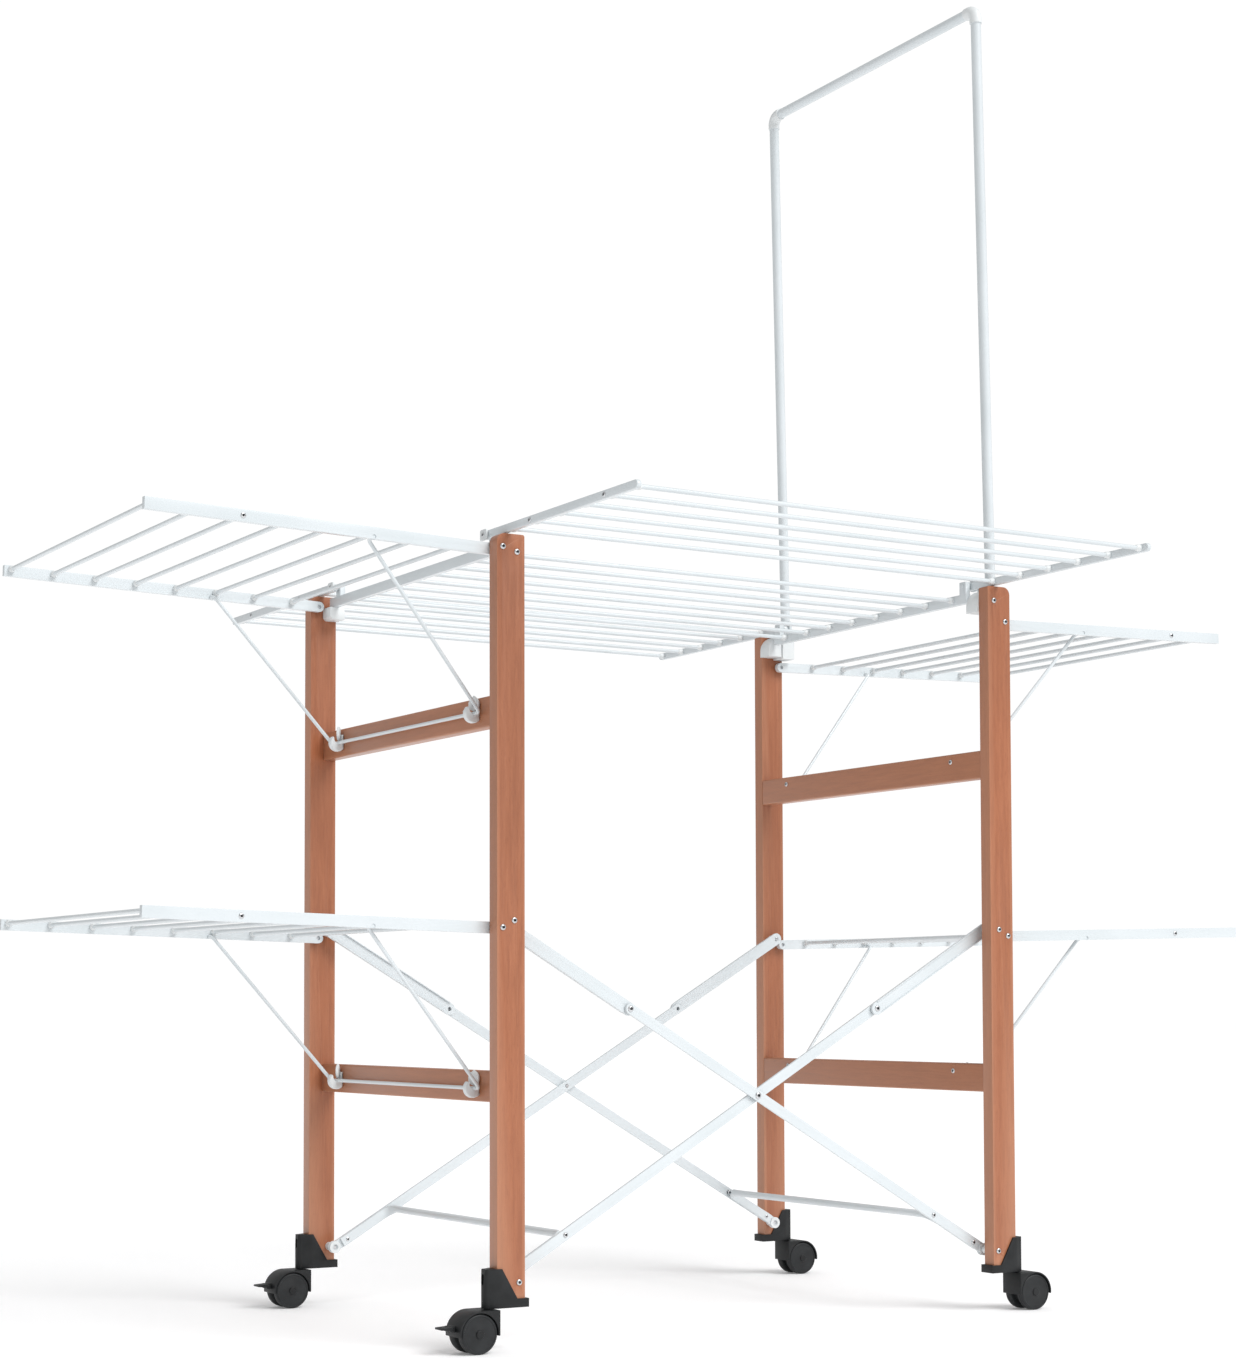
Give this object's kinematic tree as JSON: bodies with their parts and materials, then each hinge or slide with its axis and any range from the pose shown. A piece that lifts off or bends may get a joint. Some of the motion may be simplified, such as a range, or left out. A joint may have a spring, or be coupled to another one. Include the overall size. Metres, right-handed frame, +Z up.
{
  "type": "clothes drying rack",
  "caption": "Folding drying rack on casters: wooden end frames, folding metal braces, rod grid with flaps, side wings on wire stays and a hanger rail.",
  "frame": {"origin": "on the floor under the middle of the open rack", "axes": "+X from the left end frame to the right one, +Y from front to back, +Z up"},
  "size_m": [1.769, 1.209, 1.9],
  "materials": {
    "wood": "satin varnish over stained beech",
    "white_metal": "white epoxy enamel",
    "white_plastic": "moulded, satin",
    "screw_steel": "zinc plated",
    "black_plastic": "moulded, fine texture",
    "wheel_black": "satin tread"
  },
  "bodies": {
    "left_frame": {"post_front_left": "wood", "post_back_left": "wood", "rail_upper_left": "wood", "rail_lower_left": "wood", "frame_bolts_left": "screw_steel", "stay_hooks_left": "white_plastic", "caster_bracket_front_left": "black_plastic", "caster_bracket_back_left": "black_plastic", "grid_catches": "white_plastic"},
    "right_frame": {"post_front_right": "wood", "post_back_right": "wood", "rail_upper_right": "wood", "rail_lower_right": "wood", "frame_bolts_right": "screw_steel", "stay_hooks_right": "white_plastic", "caster_bracket_front_right": "black_plastic", "caster_bracket_back_right": "black_plastic", "grid_blocks_right": "white_plastic", "hanger_sockets": "white_plastic"},
    "scissor_a": {"brace_a_front": "white_metal", "brace_a_back": "white_metal", "crossbar_left": "white_metal", "brace_rivets_a": "screw_steel"},
    "scissor_b": {"brace_b_front": "white_metal", "brace_b_back": "white_metal", "crossbar_right": "white_metal", "brace_rivets_b": "screw_steel"},
    "upper_links_left": {"brace_links_left": "white_metal"},
    "upper_links_right": {"brace_links_right": "white_metal"},
    "centre_grid": {"grid_bars": "white_metal", "grid_rods": "white_metal", "grid_hinge_pins": "white_metal"},
    "front_flap": {"flap_bars_front": "white_metal", "flap_rods_front": "white_metal"},
    "back_flap": {"flap_bars_back": "white_metal", "flap_rods_back": "white_metal"},
    "wing_upper_left": {"wing_bars_upper_left": "white_metal", "wing_rods_upper_left": "white_metal"},
    "stay_upper_left_wire": {"stay_upper_left": "white_metal"},
    "wing_lower_left": {"wing_bars_lower_left": "white_metal", "wing_rods_lower_left": "white_metal"},
    "stay_lower_left_wire": {"stay_lower_left": "white_metal"},
    "wing_upper_right": {"wing_bars_upper_right": "white_metal", "wing_rods_upper_right": "white_metal"},
    "stay_upper_right_wire": {"stay_upper_right": "white_metal"},
    "wing_lower_right": {"wing_bars_lower_right": "white_metal", "wing_rods_lower_right": "white_metal"},
    "stay_lower_right_wire": {"stay_lower_right": "white_metal"},
    "hanger": {"hanger_tubes": "white_metal", "hanger_elbows": "white_plastic"},
    "caster_front_left": {"caster_hood_front_left": "black_plastic"},
    "wheels_front_left": {"caster_wheels_front_left": "wheel_black"},
    "caster_back_left": {"caster_hood_back_left": "black_plastic"},
    "wheels_back_left": {"caster_wheels_back_left": "wheel_black"},
    "caster_front_right": {"caster_hood_front_right": "black_plastic"},
    "wheels_front_right": {"caster_wheels_front_right": "wheel_black"},
    "caster_back_right": {"caster_hood_back_right": "black_plastic"},
    "wheels_back_right": {"caster_wheels_back_right": "wheel_black"},
    "pedal_front": {"brake_pedal_front": "black_plastic"},
    "pedal_back": {"brake_pedal_back": "black_plastic"}
  },
  "joints": [
    {"name": "fold", "type": "hinge", "parent": "left_frame", "child": "scissor_a", "pos_m": [-0.3895, 0, 0.086], "axis": [0, -1, 0], "range_deg": [0, 53.46]},
    {"name": "brace_cross", "type": "hinge", "parent": "scissor_a", "child": "scissor_b", "pos_m": [0, 0, 0.31211], "axis": [0, 1, 0], "range_deg": [0, 107.43]},
    {"name": "brace_foot_right", "type": "hinge", "parent": "scissor_b", "child": "right_frame", "pos_m": [0.3895, 0, 0.086], "axis": [0, -1, 0], "range_deg": [0, 53.96]},
    {"name": "upper_links_left_pivot", "type": "hinge", "parent": "left_frame", "child": "upper_links_left", "pos_m": [-0.396, 0, 0.542], "axis": [0, -1, 0], "range_deg": [0, 112.88]},
    {"name": "upper_links_right_pivot", "type": "hinge", "parent": "right_frame", "child": "upper_links_right", "pos_m": [0.396, 0, 0.542], "axis": [0, 1, 0], "range_deg": [0, 112.88]},
    {"name": "grid_swing", "type": "hinge", "parent": "right_frame", "child": "centre_grid", "pos_m": [0.407, 0, 1.05], "axis": [0, 1, 0], "range_deg": [0, 86.5]},
    {"name": "front_flap_hinge", "type": "hinge", "parent": "centre_grid", "child": "front_flap", "pos_m": [0, -0.233, 1.0425], "axis": [-1, 0, 0], "range_deg": [0, 180]},
    {"name": "back_flap_hinge", "type": "hinge", "parent": "centre_grid", "child": "back_flap", "pos_m": [0, 0.233, 1.0425], "axis": [1, 0, 0], "range_deg": [0, 171]},
    {"name": "wing_upper_left_hinge", "type": "hinge", "parent": "left_frame", "child": "wing_upper_left", "pos_m": [-0.4125, 0, 1.018], "axis": [0, -1, 0], "range_deg": [0, 91.5]},
    {"name": "stay_upper_left_hinge", "type": "hinge", "parent": "wing_upper_left", "child": "stay_upper_left_wire", "pos_m": [-0.58256, 0, 1.01785], "axis": [0, 1, 0], "range_deg": [0, 132.27]},
    {"name": "wing_lower_left_hinge", "type": "hinge", "parent": "left_frame", "child": "wing_lower_left", "pos_m": [-0.4125, 0, 0.533], "axis": [0, -1, 0], "range_deg": [0, 91.5]},
    {"name": "stay_lower_left_hinge", "type": "hinge", "parent": "wing_lower_left", "child": "stay_lower_left_wire", "pos_m": [-0.58256, 0, 0.53285], "axis": [0, 1, 0], "range_deg": [0, 132.27]},
    {"name": "wing_upper_right_hinge", "type": "hinge", "parent": "right_frame", "child": "wing_upper_right", "pos_m": [0.4125, 0, 0.985], "axis": [0, 1, 0], "range_deg": [0, 91.5]},
    {"name": "stay_upper_right_hinge", "type": "hinge", "parent": "wing_upper_right", "child": "stay_upper_right_wire", "pos_m": [0.58256, 0, 0.98485], "axis": [0, -1, 0], "range_deg": [0, 132.27]},
    {"name": "wing_lower_right_hinge", "type": "hinge", "parent": "right_frame", "child": "wing_lower_right", "pos_m": [0.4125, 0, 0.533], "axis": [0, 1, 0], "range_deg": [0, 91.5]},
    {"name": "stay_lower_right_hinge", "type": "hinge", "parent": "wing_lower_right", "child": "stay_lower_right_wire", "pos_m": [0.58256, 0, 0.53285], "axis": [0, -1, 0], "range_deg": [0, 132.27]},
    {"name": "hanger_lift", "type": "slide", "parent": "right_frame", "child": "hanger", "axis": [-0.0209, 0, 0.9998], "range_m": [0, 0.06]},
    {"name": "caster_front_left_swivel", "type": "hinge", "parent": "left_frame", "child": "caster_front_left", "pos_m": [-0.43, -0.283, 0.055], "axis": [0, 0, 1], "continuous": true},
    {"name": "wheels_front_left_spin", "type": "hinge", "parent": "caster_front_left", "child": "wheels_front_left", "pos_m": [-0.45, -0.283, 0.0255], "axis": [0, 1, 0], "continuous": true},
    {"name": "caster_back_left_swivel", "type": "hinge", "parent": "left_frame", "child": "caster_back_left", "pos_m": [-0.43, 0.283, 0.055], "axis": [0, 0, 1], "continuous": true},
    {"name": "wheels_back_left_spin", "type": "hinge", "parent": "caster_back_left", "child": "wheels_back_left", "pos_m": [-0.45, 0.283, 0.0255], "axis": [0, 1, 0], "continuous": true},
    {"name": "caster_front_right_swivel", "type": "hinge", "parent": "right_frame", "child": "caster_front_right", "pos_m": [0.43, -0.283, 0.055], "axis": [0, 0, 1], "continuous": true},
    {"name": "wheels_front_right_spin", "type": "hinge", "parent": "caster_front_right", "child": "wheels_front_right", "pos_m": [0.45, -0.283, 0.0255], "axis": [0, 1, 0], "continuous": true},
    {"name": "caster_back_right_swivel", "type": "hinge", "parent": "right_frame", "child": "caster_back_right", "pos_m": [0.43, 0.283, 0.055], "axis": [0, 0, 1], "continuous": true},
    {"name": "wheels_back_right_spin", "type": "hinge", "parent": "caster_back_right", "child": "wheels_back_right", "pos_m": [0.45, 0.283, 0.0255], "axis": [0, 1, 0], "continuous": true},
    {"name": "brake_front", "type": "hinge", "parent": "caster_front_left", "child": "pedal_front", "pos_m": [-0.4835, -0.283, 0.0325], "axis": [0, -1, 0], "range_deg": [0, 12]},
    {"name": "brake_back", "type": "hinge", "parent": "caster_back_left", "child": "pedal_back", "pos_m": [-0.4835, 0.283, 0.0325], "axis": [0, -1, 0], "range_deg": [0, 12]}
  ],
  "couplings": [
    {"joint": "brace_cross", "follows": "fold", "ratio": 2},
    {"joint": "brace_foot_right", "follows": "fold", "ratio": 1},
    {"joint": "upper_links_left_pivot", "follows": "fold", "ratio": 2.102},
    {"joint": "upper_links_right_pivot", "follows": "fold", "ratio": 2.102},
    {"joint": "grid_swing", "follows": "fold", "ratio": 1.6086},
    {"joint": "stay_upper_left_hinge", "follows": "wing_upper_left_hinge", "ratio": 1.4401},
    {"joint": "stay_lower_left_hinge", "follows": "wing_lower_left_hinge", "ratio": 1.4401},
    {"joint": "stay_upper_right_hinge", "follows": "wing_upper_right_hinge", "ratio": 1.4401},
    {"joint": "stay_lower_right_hinge", "follows": "wing_lower_right_hinge", "ratio": 1.4401}
  ]
}
